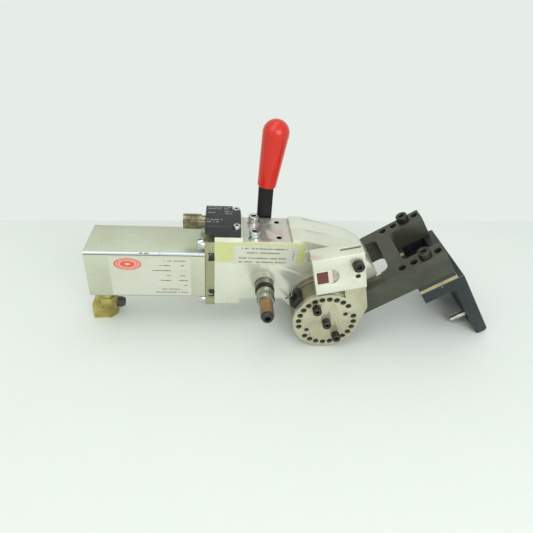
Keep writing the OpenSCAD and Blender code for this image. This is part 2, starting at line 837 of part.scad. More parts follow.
module arm_fork() {
    leg_in = arm_gap / 2;
    leg_out = arm_w / 2;
    step_s = 55.8;
    color("darkolivegreen") difference() {
        union() {
            arm_frame() difference() {
                box([0, -leg_out, arm_bot], [arm_l, leg_out, arm_top]);
                box([-1, -leg_in, arm_bot - 1], [bridge_s - 6, leg_in, 1]);
                box([-1, -leg_in + 6, arm_bot - 1], [bridge_s, leg_in - 6, 1]);
                for (y = [-1, 1])
                    translate([bridge_s - 6, y * (leg_in - 6), arm_bot - 1]) cylinder(r = 6, h = 40);
                box([pocket_s + 3, -pocket_w / 2, arm_bot - 1], [arm_l + 1, pocket_w / 2, 1]);
                box([pocket_s, -pocket_w / 2 + 3, arm_bot - 1], [arm_l, pocket_w / 2 - 3, 1]);
                for (y = [-1, 1])
                    translate([pocket_s + 3, y * (pocket_w / 2 - 3), arm_bot - 1])
                        cylinder(r = 3, h = 40);
                box([-1, -40, arm_top - 1.5], [step_s, 0, 1]);
                box([well_s[0], -pocket_w / 2 - undercut[0], arm_bot - 1],
                    [arm_l + 1, pocket_w / 2 + undercut[0], arm_bot + undercut[1]]);
            }
            translate([pivot_x, 0, pivot_z]) {
                rod_y(disc_r - 0.2, -leg_out + 0.05, drum_back + 1);
                rod_y(disc_r - 0.2, leg_in + 0.05, leg_out - 0.05);
            }
        }
        translate([pivot_x, 0, pivot_z]) {
            rod_y(shaft_r + EPS, -60, 60);
            rod_y(disc_r + 0.6, drum_back, 0);
            slab(-60, drum_back + 1) intersection() {
                circle(disc_r + 0.5);
                sector_2d(0.4);
            }
        }
        row_places(true) translate([0, 0, arm_bot - 1]) cylinder(r = M6[0] + FIT, h = 60);
        disc_screw_places() rod_y(M4[0] + FIT, -60, 0);
    }
}

module far_hub_screw() {
    color("dimgray") translate([pivot_x, arm_w / 2, pivot_z]) rotate([-90, 0, 0]) {
        cap_screw([2.5, 4.6, 5, 2.2], 12);
        difference() {
            cylinder(r = 13, h = 2.5);
            translate([0, 0, -1]) cylinder(r = 4.5, h = 5);
        }
    }
}

module arm_screws() {
    color("dimgray") screw_places() translate([0, 0, arm_top])
        cap_screw(M6, arm_top - bracket_top + 8);
}

// Window through the packing under the pocket, open towards the pivot
module well() {
    arm_frame() box([bracket_s - 1, -well_w / 2, bracket_top - EPS],
        [well_s[1], well_w / 2, arm_bot + 1]);
}

module spacer_plate() {
    color("black") difference() {
        arm_frame() box([bracket_s, -arm_w / 2, arm_bot - spacer_t], [arm_l, arm_w / 2, arm_bot]);
        well();
        screw_places() translate([0, 0, -60]) cylinder(r = M6[0] + FIT, h = 60);
    }
}

module shim_pack() {
    color("gold") for (k = [0:shim_n - 1]) difference() {
        arm_frame() box([bracket_s, -arm_w / 2 + 0.2, bracket_top + k * shim_t],
            [arm_l + 0.6, arm_w / 2, bracket_top + (k + 1) * shim_t - 0.04]);
        well();
        screw_places() translate([0, 0, -60]) cylinder(r = M6[0] + FIT, h = 60);
    }
}

// Angle bracket under the end of the arm: corners turned as [s, n, radius, from, to]
function turn(s, n, r, a, b) = [for (i = [0:4]) let (q = a + (b - a) * i / 4)
    [s + r * cos(q), n + r * sin(q)]];
plate_s = bracket_end - bracket_t;
leg_n = bracket_top - bracket_leg_t;
bracket_outline = concat([[bracket_s, leg_n], [bracket_s, bracket_top]],
    turn(bracket_end - 1.5, bracket_top - 1.5, 1.5, 90, 0),
    turn(bracket_end - 3, bracket_low + 3, 3, 0, -90),
    turn(plate_s + 2, bracket_low + 2, 2, -90, -180),
    turn(plate_s - 4, leg_n - 4, 4, 0, 90));

pin_places = [[-20, -86], [20, -86]];
hole_places = [[-20, -66], [20, -66]];
module tip_bracket() {
    near = -arm_w / 2;
    color("darkslategray") difference() {
        arm_frame() slab(near, near + bracket_w) polygon(bracket_outline);
        arm_frame() box([bracket_s - 1, -well_w / 2, leg_n - 1], [well_s[0], well_w / 2, bracket_top + 1]);
        screw_places() translate([0, 0, -60]) cylinder(r = M6[0] + FIT, h = 60);
        arm_frame() {
            for (q = pin_places) translate([0, q[0], q[1]])
                rod_x(2.8 + EPS, bracket_end - bracket_t - 1, bracket_end + 1);
            for (q = hole_places) translate([0, q[0], q[1]])
                rod_x(2.5, bracket_end - bracket_t - 1, bracket_end + 1);
        }
    }
}

module dowel_pins() {
    color("silver") arm_frame() for (q = pin_places) translate([0, q[0], q[1]]) {
        rod_x(3, plate_s - 14, plate_s);
        rod_x(2.8, plate_s - EPS, bracket_end);
    }
}

// ---- indicator block -------------------------------------------------------------

block_screw = [27.8, 54.2];
module block_screw_place() {
    block_frame() translate([block_screw[0], 0, block_screw[1]]) children();
}

module indicator_block() {
    u1 = block_u + block_l;
    v1 = block_v + block_h;
    color("gainsboro") difference() {
        block_frame() difference() {
            box([block_u, block_y[0], block_v], [u1, block_y[1], v1]);
            box([17.1, disc_front - 0.1, block_v - 1], [u1 + 1, disc_back + 20, 57.8]);
            box([block_u - 1, block_y[0] - 1, window_v - window_r],
                [window_u, block_y[0] + window_depth, window_v + window_r]);
            translate([window_u, 0, window_v])
                rod_y(window_r, block_y[0] - 1, block_y[0] + window_depth);
            box([17, -42.8, v1 - 1.6], [32.6, -39.6, v1 + 1]);
            translate([27.5, 0, 43.1]) rod_y(2, block_y[0] - 1, disc_back);
        }
        block_screw_place() rod_y(M5[0] + FIT, -60, 0);
    }
}

// Carrier in the window, its lens and the round marker at its inner end
lens_u = [-3, 5.4];
lens_v = [41.4, 52.2];
module indicator_insert() {
    y0 = block_y[0] + 0.3;
    y1 = block_y[0] + window_depth - EPS;
    color("ivory") block_frame() difference() {
        union() {
            box([block_u + 0.2, y0, window_v - window_r + 0.1], [7.6, y1, window_v + window_r - 0.1]);
            box([7.5, y0 + 2.5, window_v - window_r + 1], [9, y1, window_v + window_r - 1]);
        }
        box([lens_u[0] - FIT, y0 - 1, lens_v[0] - FIT], [lens_u[1] + FIT, y1 - 0.8, lens_v[1] + FIT]);
    }
}

module indicator_lens() {
    color("darkred") block_frame()
        box([lens_u[0], block_y[0] + 0.7, lens_v[0]], [lens_u[1], block_y[0] + window_depth - 0.9, lens_v[1]]);
}

module indicator_knob() {
    color("silver") block_frame() difference() {
        translate([window_u, 0, window_v]) rod_y(window_r - 0.1, block_y[0] + 1, block_y[0] + window_depth - EPS);
        box([-10, -60, 30], [9.1, 0, 60]);
    }
}

module indicator_screw() {
    color("dimgray") block_screw_place()
        translate([0, block_y[0], 0]) rotate([90, 0, 0]) cap_screw(M5, 14);
}

// ---- drawing ---------------------------------------------------------------------

cylinder_tube();
rear_plug();
rear_plug_seal();
rear_ring();
flange_plate();
flange_screws();
tube_screws();
rod_bush();
rod_seal();
head_front_half();
head_back_half();
head_screws();
mount_pad();
pad_screws();
pad_washers();
sensor_body();
sensor_connector();
sensor_screws();
elbow_fitting();
elbow_collet();
cylinder_label();
head_label();
warning_strip();
shaft_bushes();
lever_bushes();
bearing_covers();
lever_shaft();
lever_finger();
spindle_ring();
spindle_collar();
spindle_sleeve();
spindle_tip();
lever_bar();
lever_grip();
lever_screw();
piston();
piston_seal();
piston_rod();
rack_bar();
output_shaft();
output_pinion();
hub_drum();
stop_dog();
dog_screw();
index_disc();
disc_screws();
arm_fork();
far_hub_screw();
indicator_block();
indicator_insert();
indicator_lens();
indicator_knob();
indicator_screw();
tip_bracket();
spacer_plate();
shim_pack();
arm_screws();
dowel_pins();
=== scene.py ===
# Looks for the pneumatic swing clamp unit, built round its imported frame. Metres, row frame.
import json
import math
import random

import bpy
import bmesh
from mathutils import Matrix, Vector


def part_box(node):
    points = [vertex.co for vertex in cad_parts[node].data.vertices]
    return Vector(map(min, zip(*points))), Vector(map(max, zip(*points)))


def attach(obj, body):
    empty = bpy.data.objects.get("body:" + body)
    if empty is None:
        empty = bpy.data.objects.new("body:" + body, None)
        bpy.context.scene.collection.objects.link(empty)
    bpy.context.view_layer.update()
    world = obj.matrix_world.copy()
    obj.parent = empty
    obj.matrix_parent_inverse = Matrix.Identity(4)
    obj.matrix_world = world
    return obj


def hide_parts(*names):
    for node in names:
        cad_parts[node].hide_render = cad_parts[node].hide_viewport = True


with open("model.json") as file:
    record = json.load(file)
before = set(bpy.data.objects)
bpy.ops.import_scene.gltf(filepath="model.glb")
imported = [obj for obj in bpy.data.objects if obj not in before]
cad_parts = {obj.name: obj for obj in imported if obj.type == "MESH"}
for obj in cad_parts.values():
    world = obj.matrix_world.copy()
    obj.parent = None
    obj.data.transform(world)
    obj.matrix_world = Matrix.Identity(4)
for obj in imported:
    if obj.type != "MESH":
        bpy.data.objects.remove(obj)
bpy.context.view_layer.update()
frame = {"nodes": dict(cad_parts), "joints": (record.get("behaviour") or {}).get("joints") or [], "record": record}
NODES = frame["nodes"]
BODIES = frame["record"]["behaviour"]["bodies"]
BODY_OF = {node: body for body, members in BODIES.items() for node in members}
SLOT_OF = {s["node"]: s["material_slot"] for s in frame["record"]["subparts"]}
JOINTS = {j["name"]: j for j in frame["joints"]}
MM = 0.001
WELD = 2e-6  # metres within which the frame's doubled corners are one
LABEL_SEED = 7
rng = random.Random(LABEL_SEED)


# ---------------------------------------------------------------- materials

def srgb(r, g, b):
    """A colour given in 0..255 display values, as linear RGBA."""
    def one(c):
        c /= 255
        return c / 12.92 if c <= 0.04045 else ((c + 0.055) / 1.055) ** 2.4
    return (one(r), one(g), one(b), 1)


def material(name, base, patch_colour, rough, metal=0.0, spread=0.1, patch=45, patch_mix=0.5,
             grain=(1, 1, 1), grain_size=900, grain_mix=0.12, bump=0.15, depth=0.03,
             speck=None, speck_size=700, speck_share=0.04, coat=0.0, specular=0.5):
    """Surface with soft patches, directional grain, specks of dirt, and gloss and bump that follow the grain.

    spread is how far roughness varies; patch, grain_size and speck_size are noise scales; depth is the
    bump's height in millimetres.
    """
    m = bpy.data.materials.new(name)
    m.use_nodes = True
    nt = m.node_tree
    bsdf = nt.nodes["Principled BSDF"]
    link = nt.links.new
    co = nt.nodes.new("ShaderNodeTexCoord")

    def noise(scale, detail, gain, vector):
        n = nt.nodes.new("ShaderNodeTexNoise")
        n.inputs["Scale"].default_value = scale
        n.inputs["Detail"].default_value = detail
        n.inputs["Roughness"].default_value = gain
        link(vector, n.inputs["Vector"])
        return n.outputs["Fac"]

    def ramp(fac, low, high, a=0.0, b=1.0):
        n = nt.nodes.new("ShaderNodeMapRange")
        for key, value in (("From Min", low), ("From Max", high), ("To Min", a), ("To Max", b)):
            n.inputs[key].default_value = value
        link(fac, n.inputs["Value"])
        return n.outputs["Result"]

    def mix(fac, a, b):
        n = nt.nodes.new("ShaderNodeMix")
        n.data_type = "RGBA"
        link(fac, n.inputs[0])
        for value, socket in ((a, n.inputs[6]), (b, n.inputs[7])):
            if isinstance(value, tuple):
                socket.default_value = value
            else:
                link(value, socket)
        return n.outputs[2]

    space = nt.nodes.new("ShaderNodeMapping")
    space.inputs["Scale"].default_value = grain
    link(co.outputs["Object"], space.inputs["Vector"])
    fine = noise(grain_size, 5, 0.6, space.outputs["Vector"])
    broad = noise(patch, 4, 0.55, co.outputs["Object"])
    colour = mix(ramp(broad, 0.35, 0.75, 0.0, patch_mix), base, patch_colour)
    dark = tuple(0.45 * c for c in base[:3]) + (1,)
    colour = mix(ramp(fine, 0.42, 0.8, 0.0, grain_mix * 2), colour, dark)
    if speck is not None:
        dots = noise(speck_size, 2, 0.5, co.outputs["Object"])
        edge = 0.72 - speck_share
        colour = mix(ramp(dots, edge, edge + 0.03), colour, speck)
    link(colour, bsdf.inputs["Base Color"])
    gloss = nt.nodes.new("ShaderNodeMath")
    gloss.operation = "ADD"
    gloss.use_clamp = True
    link(ramp(fine, 0.3, 0.7, rough - spread, rough + spread), gloss.inputs[0])
    link(ramp(broad, 0.3, 0.7, -spread * 0.6, spread * 0.6), gloss.inputs[1])
    link(gloss.outputs[0], bsdf.inputs["Roughness"])
    bsdf.inputs["Metallic"].default_value = metal
    bsdf.inputs["Specular IOR Level"].default_value = specular
    if coat:
        bsdf.inputs["Coat Weight"].default_value = coat
        bsdf.inputs["Coat Roughness"].default_value = 0.12
    if bump:
        b = nt.nodes.new("ShaderNodeBump")
        b.inputs["Strength"].default_value = bump
        b.inputs["Distance"].default_value = depth * MM
        link(fine, b.inputs["Height"])
        link(b.outputs["Normal"], bsdf.inputs["Normal"])
    return m


# Grain runs along the axis whose noise scale is small.
ALONG_X = (0.03, 1, 1)
ALONG_Y = (1, 0.05, 1)
ALONG_Z = (1, 1, 0.03)

# The finish of each material slot of the record
M = {
    "tube_aluminium": material(
        "tube_aluminium", srgb(205, 209, 190), srgb(170, 170, 140), rough=0.36, metal=0.75, spread=0.08,
        patch=14, patch_mix=0.6, grain=ALONG_X, grain_size=1500, grain_mix=0.10, bump=0.25, depth=0.02,
        speck=srgb(120, 116, 84), speck_size=260, speck_share=-0.03),
    "cast_cream": material(
        "cast_cream", srgb(214, 216, 203), srgb(192, 192, 164), rough=0.22, metal=0.45, spread=0.06,
        patch=22, patch_mix=0.6, grain=ALONG_Z, grain_size=1300, grain_mix=0.02, bump=0.10, depth=0.01,
        speck=srgb(150, 146, 120), speck_size=900, speck_share=0.0, coat=0.3),
    # The pad's pink patch colour is a painted reflection.
    "pad_aluminium": material(
        "pad_aluminium", srgb(206, 208, 198), srgb(214, 174, 164), rough=0.34, metal=0.8, spread=0.08,
        patch=60, grain=ALONG_Y, grain_size=1500, grain_mix=0.09, bump=0.25, depth=0.02,
        speck=srgb(90, 88, 78), speck_size=380, speck_share=0.01),
    "flange_bronze": material(
        "flange_bronze", srgb(172, 172, 138), srgb(128, 122, 92), rough=0.34, metal=0.7, spread=0.12,
        patch=40, patch_mix=0.7, grain=ALONG_Z, grain_size=1200, grain_mix=0.16, bump=0.3,
        speck=srgb(60, 54, 40), speck_size=300, speck_share=0.02),
    "zinc_steel": material(
        "zinc_steel", srgb(206, 213, 214), srgb(160, 160, 144), rough=0.22, metal=0.95, patch=200,
        patch_mix=0.6, bump=0.2, speck=srgb(96, 88, 60), speck_size=900, speck_share=0.02),
    "black_steel": material(
        "black_steel", srgb(38, 37, 34), srgb(62, 56, 46), rough=0.38, metal=0.5, spread=0.12, patch=160,
        patch_mix=0.7, bump=0.2, speck=srgb(96, 84, 66), speck_size=1400, speck_share=0.02),
    "bright_steel": material(
        "bright_steel", srgb(168, 170, 160), srgb(110, 108, 92), rough=0.22, metal=0.95, patch=120,
        patch_mix=0.6, grain=ALONG_Y, grain_size=1600, grain_mix=0.15, bump=0.2, depth=0.02),
    "gear_steel": material(
        "gear_steel", srgb(132, 134, 124), srgb(92, 86, 70), rough=0.3, metal=0.85, patch=90, patch_mix=0.6,
        grain=ALONG_Y),
    "seal_rubber": material(
        "seal_rubber", srgb(26, 26, 26), srgb(40, 40, 38), rough=0.6, patch=80, patch_mix=0.6),
    "bush_bronze": material(
        "bush_bronze", srgb(150, 122, 84), srgb(104, 82, 54), rough=0.34, metal=0.9, patch=80,
        patch_mix=0.6),
    "fitting_brass": material(
        "fitting_brass", srgb(190, 178, 104), srgb(124, 110, 56), rough=0.32, metal=0.7, patch=110,
        patch_mix=0.75, grain_size=1300, grain_mix=0.14, bump=0.25, speck=srgb(74, 62, 32), speck_size=420,
        speck_share=0.03),
    "collet_plastic": material(
        "collet_plastic", srgb(52, 54, 50), srgb(84, 92, 84), rough=0.48, patch=120, patch_mix=0.6),
    "sensor_plastic": material(
        "sensor_plastic", srgb(42, 45, 46), srgb(62, 64, 62), rough=0.55, spread=0.08, patch=60,
        grain_size=2400, bump=0.25, speck=srgb(96, 98, 92), speck_size=1500, speck_share=0.03,
        specular=0.25),
    "connector_nickel": material(
        "connector_nickel", srgb(150, 142, 114), srgb(52, 48, 36), rough=0.16, metal=0.95, spread=0.08,
        patch=220, patch_mix=0.8),
    "label_film": material(
        "label_film", srgb(190, 192, 180), srgb(178, 178, 156), rough=0.42, spread=0.08, patch=30,
        patch_mix=0.6, grain_size=1800, grain_mix=0.03, bump=0.1, speck=srgb(150, 146, 120), speck_size=900,
        speck_share=0.0),
    "strip_film": material(
        "strip_film", srgb(188, 190, 122), srgb(190, 194, 156), rough=0.3, metal=0.1, spread=0.06, patch=34,
        patch_mix=0.9, grain_size=300, grain_mix=0.0, bump=0.05, coat=0.3),
    "hub_coating": material(
        "hub_coating", srgb(146, 138, 118), srgb(104, 96, 78), rough=0.36, metal=0.7, spread=0.12, patch=60,
        patch_mix=0.8, grain=(1, 0.06, 1), grain_size=1500, grain_mix=0.2, bump=0.25,
        speck=srgb(36, 32, 26), speck_size=420, speck_share=0.03),
    "disc_coating": material(
        "disc_coating", srgb(194, 191, 166), srgb(156, 152, 124), rough=0.32, metal=0.6, patch=50,
        patch_mix=0.8, grain_size=1300, bump=0.2, depth=0.02, speck=srgb(70, 66, 50), speck_size=380,
        speck_share=0.02),
    "arm_coating": material(
        "arm_coating", srgb(84, 85, 74), srgb(56, 55, 46), rough=0.40, metal=0.6, patch=40, patch_mix=0.7,
        grain=(0.05, 1, 0.2), grain_size=1500, grain_mix=0.14, bump=0.22, speck=srgb(120, 116, 96),
        speck_share=0.0),
    "bracket_coating": material(
        "bracket_coating", srgb(48, 54, 57), srgb(34, 38, 41), rough=0.42, metal=0.45, patch_mix=0.7,
        grain_size=1800, bump=0.22, depth=0.02, speck=srgb(104, 108, 100), speck_size=800, speck_share=0.0),
    "shim_brass": material(
        "shim_brass", srgb(188, 178, 136), srgb(132, 120, 84), rough=0.36, metal=0.85, patch=80,
        patch_mix=0.7),
    "copper_sleeve": material(
        "copper_sleeve", srgb(168, 140, 104), srgb(108, 84, 58), rough=0.36, metal=0.75, spread=0.12,
        patch=90, patch_mix=0.8, grain=ALONG_Y, grain_size=1500, grain_mix=0.2, bump=0.25),
    "black_plastic": material(
        "black_plastic", srgb(34, 34, 33), srgb(52, 50, 46), rough=0.45, patch=120, patch_mix=0.6),
    "lever_black": material(
        "lever_black", srgb(24, 25, 25), srgb(40, 40, 39), rough=0.4, metal=0.1, patch=60, patch_mix=0.6,
        grain=ALONG_Z, grain_size=1500, grain_mix=0.1, bump=0.2, depth=0.02, specular=0.2),
    "grip_red": material(
        "grip_red", srgb(194, 38, 24), srgb(178, 30, 20), rough=0.24, spread=0.04, patch=30,
        grain_size=1500, grain_mix=0.03, bump=0.08, depth=0.05, coat=0.25, specular=0.3),
    "insert_cream": material(
        "insert_cream", srgb(206, 204, 188), srgb(186, 180, 158), rough=0.34, spread=0.08, patch=120),
    "lens_red": material(
        "lens_red", srgb(96, 22, 19), srgb(44, 18, 14), rough=0.12, spread=0.05, patch=160, patch_mix=0.6,
        coat=0.6),
    "knob_steel": material(
        "knob_steel", srgb(196, 196, 186), srgb(120, 116, 100), rough=0.18, metal=0.95, spread=0.08,
        patch=300, patch_mix=0.6),
}

# The worn edges of those slots that have them; the tube's bright bluish edge is also a painted highlight
EDGE = {
    # Partly polished wear, partly a painted highlight along the tube's front top edge.
    "tube_aluminium": material(
        "tube_edge", srgb(196, 202, 212), srgb(168, 174, 182), rough=0.16, metal=0.55, spread=0.05,
        patch=30, grain=ALONG_X, grain_mix=0.05, bump=0.1, coat=0.4),
    "cast_cream": material(
        "cream_edge", srgb(228, 232, 220), srgb(190, 190, 164), rough=0.22, metal=0.5, bump=0.1),
    "pad_aluminium": material(
        "pad_edge", srgb(226, 230, 220), srgb(188, 184, 166), rough=0.24, metal=0.9, bump=0.1),
    "flange_bronze": material(
        "flange_edge", srgb(206, 206, 176), srgb(150, 144, 112), rough=0.24, metal=0.85, bump=0.1),
    "arm_coating": material("arm_edge", srgb(132, 130, 112), srgb(72, 70, 60), rough=0.30, metal=0.85),
    "bracket_coating": material(
        "bracket_edge", srgb(120, 124, 118), srgb(58, 62, 62), rough=0.30, metal=0.8),
    "sensor_plastic": material("sensor_edge", srgb(88, 92, 90), srgb(70, 72, 70), rough=0.42, bump=0.1),
    "disc_coating": material(
        "disc_edge", srgb(206, 208, 182), srgb(140, 138, 112), rough=0.28, metal=0.8, bump=0.1),
    "hub_coating": material(
        "hub_edge", srgb(140, 132, 108), srgb(84, 76, 58), rough=0.28, metal=0.85, bump=0.1),
    "lever_black": material(
        "lever_edge", srgb(92, 92, 86), srgb(48, 48, 46), rough=0.32, metal=0.5, bump=0.1),
    "fitting_brass": material(
        "brass_edge", srgb(208, 196, 122), srgb(140, 126, 66), rough=0.26, metal=0.9, bump=0.1),
    "shim_brass": material(
        "shim_edge", srgb(214, 206, 166), srgb(150, 138, 98), rough=0.26, metal=0.9, bump=0.1),
    "black_steel": material(
        "black_edge", srgb(88, 84, 74), srgb(48, 46, 40), rough=0.32, metal=0.8, bump=0.1),
}


# ---------------------------------------------------------------- pieces

def put(name, bm, mats, body, smooth=40):
    """Turns a bmesh in row-frame metres into a named piece that rides on a body."""
    me = bpy.data.meshes.new(name)
    bm.normal_update()
    bm.to_mesh(me)
    bm.free()
    o = bpy.data.objects.new(name, me)
    bpy.context.scene.collection.objects.link(o)
    for m in mats:
        me.materials.append(m)
    for p in me.polygons:
        p.use_smooth = True
    me.set_sharp_from_angle(angle=math.radians(smooth))
    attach(o, body)
    return o


def softened(node, width, segments=2, angle=38, along=None):
    """The node with its hard edges rounded; the rounded edges take the slot's edge material, worn edges that on
    the tube are also a painted highlight.
    """
    src = NODES[node]
    slot = SLOT_OF[node]
    bm = bmesh.new()
    bm.from_mesh(src.data)
    bmesh.ops.remove_doubles(bm, verts=bm.verts, dist=WELD)
    bmesh.ops.dissolve_limit(bm, angle_limit=math.radians(0.3), verts=bm.verts, edges=bm.edges)
    for f in bm.faces:
        f.material_index = 0
    hard = [e for e in bm.edges if len(e.link_faces) == 2 and e.calc_length() > width * MM * 0.4
            and e.calc_face_angle(0) > math.radians(angle)
            and (along is None or abs((e.verts[1].co - e.verts[0].co).normalized().dot(along)) > 0.99)]
    bmesh.ops.bevel(bm, geom=hard, offset=width * MM, offset_type="OFFSET", segments=segments,
                    profile=0.5, affect="EDGES", clamp_overlap=True, material=1)
    piece = put(node + "_skin", bm, [M[slot], EDGE.get(slot, M[slot])], BODY_OF[node])
    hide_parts(node)
    return piece


def paint_socket_shade(piece, axis, radius):
    """Painted shade, near black, inside the sockets of a set of screws with parallel axes.

    Each loose part of the piece is one screw; its faces within the radius in millimetres are the socket.
    """
    me = piece.data
    a = Vector(axis).normalized()
    bm = bmesh.new()
    bm.from_mesh(me)
    slot = len(me.materials)
    me.materials.append(PAINTED_SHADE)
    todo = set(bm.verts)
    while todo:
        part, edge_of = [], [todo.pop()]
        while edge_of:
            v = edge_of.pop()
            part.append(v)
            for e in v.link_edges:
                w = e.other_vert(v)
                if w in todo:
                    todo.discard(w)
                    edge_of.append(w)
        low, high = (Vector([f(v.co[i] for v in part) for i in range(3)]) for f in (min, max))
        middle = (low + high) / 2
        for f in {f for v in part for f in v.link_faces}:
            if all(((v.co - middle) - a * a.dot(v.co - middle)).length < radius * MM for v in f.verts):
                f.material_index = slot
    bm.to_mesh(me)
    bm.free()


# Near-black material that paints the shade in sockets, holes, slots and the well of the arm.
PAINTED_SHADE = material(
    "painted_shade_dark", srgb(24, 25, 25), srgb(44, 50, 54), rough=0.4, metal=0.3, patch=300, patch_mix=0.6,
    bump=0)

for node, obj in NODES.items():
    for i in range(len(obj.material_slots)):
        obj.material_slots[i].material = M[SLOT_OF[node]]

# Width in millimetres of the rounding on each node's edges
SOFT = {}
for node, width in {
    "flange_plate": 0.5, "head_front_half": 0.5, "head_back_half": 0.5,
    "mount_pad": 0.4, "sensor_body": 0.5, "arm_fork": 0.5, "tip_bracket": 0.6, "spacer_plate": 0.3,
    "index_disc": 0.3, "hub_drum": 0.4, "bearing_covers": 0.5, "indicator_block": 0.5,
    "lever_bar": 0.4, "elbow_fitting": 0.5, "stop_dog": 0.4, "disc_screws": 0.35,
    "indicator_screw": 0.4, "arm_screws": 0.4, "pad_screws": 0.4, "flange_screws": 0.4,
    "sensor_screws": 0.25, "spindle_tip": 0.3, "spindle_collar": 0.3, "dog_screw": 0.2,
}.items():
    SOFT[node] = softened(node, width)

# Painted shade inside the two free holes of the pad: their walls take the near-black shade material.
pad_holes = next(m for m in frame["record"]["mounts"] if m["name"] == "pad_holes")
pad = SOFT["mount_pad"]
pad.data.materials.append(PAINTED_SHADE)
for p in pad.data.polygons:
    c = pad.matrix_world @ p.center
    off = math.hypot(c.x - pad_holes["pos_m"][0], abs(c.y) - pad_holes["dims"]["spacing_y_mm"] / 2 * MM)
    if abs(p.normal.z) < 0.9 and off < (pad_holes["dims"]["hole_r_mm"] + 0.45) * MM:
        p.material_index = len(pad.data.materials) - 1

# Only the tube's front top edge takes the bright edge colour, on its faces that point up and to the front:
# polished wear and a painted highlight.
TUBE_EDGE = 1.7
for p in softened("cylinder_tube", TUBE_EDGE, along=Vector((1, 0, 0))).data.polygons:
    if p.normal.z < 0.1 or p.normal.y > 0:
        p.material_index = 0

# Painted shade in the sockets of the screws and in the end of the spindle tip.
for node, axis, radius in (("pad_screws", (0, 0, 1), 2.25), ("sensor_screws", (0, 0, 1), 1.35),
                           ("flange_screws", (1, 0, 0), 2.25), ("disc_screws", (0, 1, 0), 1.75),
                           ("indicator_screw", (0, 1, 0), 2.25), ("spindle_tip", (0, 1, 0), 2.65)):
    paint_socket_shade(SOFT[node], axis, radius)


# ---------------------------------------------------------------- printed and small details

class Face:
    """A flat frame in millimetres: point(u, v, h) is u and v along the face and h above it."""

    def __init__(self, origin, along, across):
        self.o = Vector(origin)
        self.u = Vector(along).normalized()
        self.n = self.u.cross(Vector(across)).normalized()
        self.v = self.n.cross(self.u)

    def point(self, u, v, h):
        """Where a point of the face lies, in row-frame metres."""
        return self.o + (self.u * u + self.v * v + self.n * h) * MM


def prism(bm, face, outline, low, high, mat=0):
    """A flat solid over a face, from its outline in millimetres."""
    bottom = [bm.verts.new(face.point(u, v, low)) for u, v in outline]
    top = [bm.verts.new(face.point(u, v, high)) for u, v in outline]
    faces = [bm.faces.new(top), bm.faces.new(bottom[::-1])]
    k = len(outline)
    for i in range(k):
        faces.append(bm.faces.new((bottom[i], bottom[(i + 1) % k], top[(i + 1) % k], top[i])))
    for f in faces:
        f.material_index = mat


def band(bm, face, centre, a, b, share, low, high, mat=0, steps=48):
    """An oval ring with half axes a and b; share is the inner edge over the outer one."""
    rings = []
    for scale, h in ((1, low), (1, high), (share, high), (share, low)):
        rings.append([bm.verts.new(face.point(centre[0] + a * scale * math.cos(t),
                                              centre[1] + b * scale * math.sin(t), h))
                      for t in [2 * math.pi * i / steps for i in range(steps)]])
    for r in range(4):
        p, q = rings[r], rings[(r + 1) % 4]
        for i in range(steps):
            j = (i + 1) % steps
            bm.faces.new((p[i], p[j], q[j], q[i])).material_index = mat


def rounded(w, h, r, u0=0.0, v0=0.0, steps=5):
    """Outline of a rectangle with rounded corners, from its lower left corner."""
    pts = []
    for cu, cv, a0 in ((w - r, r, -90), (w - r, h - r, 0), (r, h - r, 90), (r, r, 180)):
        for i in range(steps + 1):
            a = math.radians(a0 + 90 * i / steps)
            pts.append((u0 + cu + r * math.cos(a), v0 + cv + r * math.sin(a)))
    return pts


GAP = 0.32  # millimetres between two bars
SKIPPED = 0.16  # share of the bars that are left out


def dashes(bm, face, w, h, rows, tall, low, high, mat=0):
    """Rows of short plain bars that stand in for print: rows is [(v share, [(from, to), ...]), ...]."""
    for v, spans in rows:
        for a, b in spans:
            u = a * w
            while u < b * w:
                step = rng.uniform(0.45, 1.15)
                if rng.random() > SKIPPED:
                    t = tall * rng.uniform(0.75, 1.0)
                    prism(bm, face, bar(u, v * h, u + step, v * h + t), low, high, mat)
                u += step + GAP


def lathe(bm, profile, origin, axis, side, steps=56, mat=0):
    """Turns a profile [(along, radius), ...] in millimetres about an axis."""
    a = Vector(axis).normalized()
    e1 = Vector(side).normalized()
    e2 = a.cross(e1)
    rings = []
    for x, r in profile:
        rings.append([bm.verts.new(Vector(origin) + (a * x + (e1 * math.cos(t) + e2 * math.sin(t)) * r) * MM)
                      for t in [2 * math.pi * i / steps for i in range(steps)]])
    for k in range(len(rings) - 1):
        for i in range(steps):
            j = (i + 1) % steps
            bm.faces.new((rings[k][i], rings[k][j], rings[k + 1][j], rings[k + 1][i])).material_index = mat


def tilted(degrees):
    """Directions along and across a part that is turned by an angle in the XZ plane."""
    a = math.radians(degrees)
    return Vector((math.cos(a), 0, math.sin(a))), Vector((-math.sin(a), 0, math.cos(a)))


def bar(u0, v0, u1, v1):
    """Outline of an upright rectangle between two corners."""
    return [(u0, v0), (u1, v0), (u1, v1), (u0, v1)]


PRINT = material(
    "print_dark", srgb(66, 64, 56), srgb(96, 92, 78), rough=0.5, spread=0.05, patch=300, patch_mix=0.6,
    bump=0)
PRINT_LIGHT = material(
    "print_light", srgb(150, 158, 156), srgb(104, 110, 108), rough=0.5, spread=0.05, patch=400,
    patch_mix=0.8, bump=0)
RED_INK = material(
    "red_ink", srgb(214, 66, 52), srgb(226, 104, 88), rough=0.42, spread=0.05, patch=260, patch_mix=0.7,
    bump=0)
YELLOW_STAIN = material(
    "yellow_stain", srgb(222, 216, 110), srgb(206, 200, 130), rough=0.4, spread=0.05, patch=260,
    patch_mix=0.7, bump=0)
